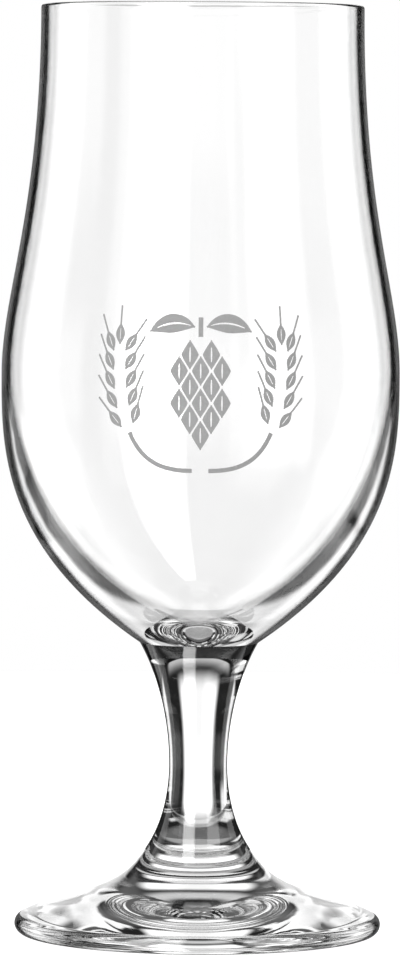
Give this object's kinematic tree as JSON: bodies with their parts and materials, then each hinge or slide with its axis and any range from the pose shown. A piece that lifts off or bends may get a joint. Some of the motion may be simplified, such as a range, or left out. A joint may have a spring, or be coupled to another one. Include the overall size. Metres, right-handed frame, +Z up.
{
  "type": "stemmed beer glass",
  "caption": "Tulip-shaped beer glass of clear glass on a short waisted stem and a round foot, with a grey hop and barley ornament on the bowl.",
  "frame": {"origin": "on the table, under the middle of the foot", "axes": "+Z up along the axis of the bowl and stem, -Y towards the viewer of the ornament, +X to the viewer's right"},
  "size_m": [0.0762, 0.0765, 0.178],
  "materials": {
    "clear_glass": "fire-polished clear glass",
    "grey_enamel": "matt fired enamel"
  },
  "bodies": {
    "root": {"bowl": "clear_glass", "stem": "clear_glass", "foot": "clear_glass", "barley_left_grain_inner_1": "grey_enamel", "barley_left_grain_inner_2": "grey_enamel", "barley_left_grain_inner_3": "grey_enamel", "barley_left_grain_inner_4": "grey_enamel", "barley_left_grain_inner_5": "grey_enamel", "barley_left_grain_outer_1": "grey_enamel", "barley_left_grain_outer_2": "grey_enamel", "barley_left_grain_outer_3": "grey_enamel", "barley_left_grain_outer_4": "grey_enamel", "barley_left_grain_outer_5": "grey_enamel", "barley_left_grain_tip": "grey_enamel", "barley_left_straw": "grey_enamel", "barley_right_grain_inner_1": "grey_enamel", "barley_right_grain_inner_2": "grey_enamel", "barley_right_grain_inner_3": "grey_enamel", "barley_right_grain_inner_4": "grey_enamel", "barley_right_grain_inner_5": "grey_enamel", "barley_right_grain_outer_1": "grey_enamel", "barley_right_grain_outer_2": "grey_enamel", "barley_right_grain_outer_3": "grey_enamel", "barley_right_grain_outer_4": "grey_enamel", "barley_right_grain_outer_5": "grey_enamel", "barley_right_grain_tip": "grey_enamel", "barley_right_straw": "grey_enamel", "hop_bract_1_1": "grey_enamel", "hop_bract_2_1": "grey_enamel", "hop_bract_2_2": "grey_enamel", "hop_bract_3_1": "grey_enamel", "hop_bract_3_2": "grey_enamel", "hop_bract_3_3": "grey_enamel", "hop_bract_4_1": "grey_enamel", "hop_bract_4_2": "grey_enamel", "hop_bract_5_1": "grey_enamel", "hop_bract_5_2": "grey_enamel", "hop_bract_5_3": "grey_enamel", "hop_bract_6_1": "grey_enamel", "hop_bract_6_2": "grey_enamel", "hop_leaf_left": "grey_enamel", "hop_leaf_right": "grey_enamel", "hop_stalk": "grey_enamel"}
  },
  "joints": []
}
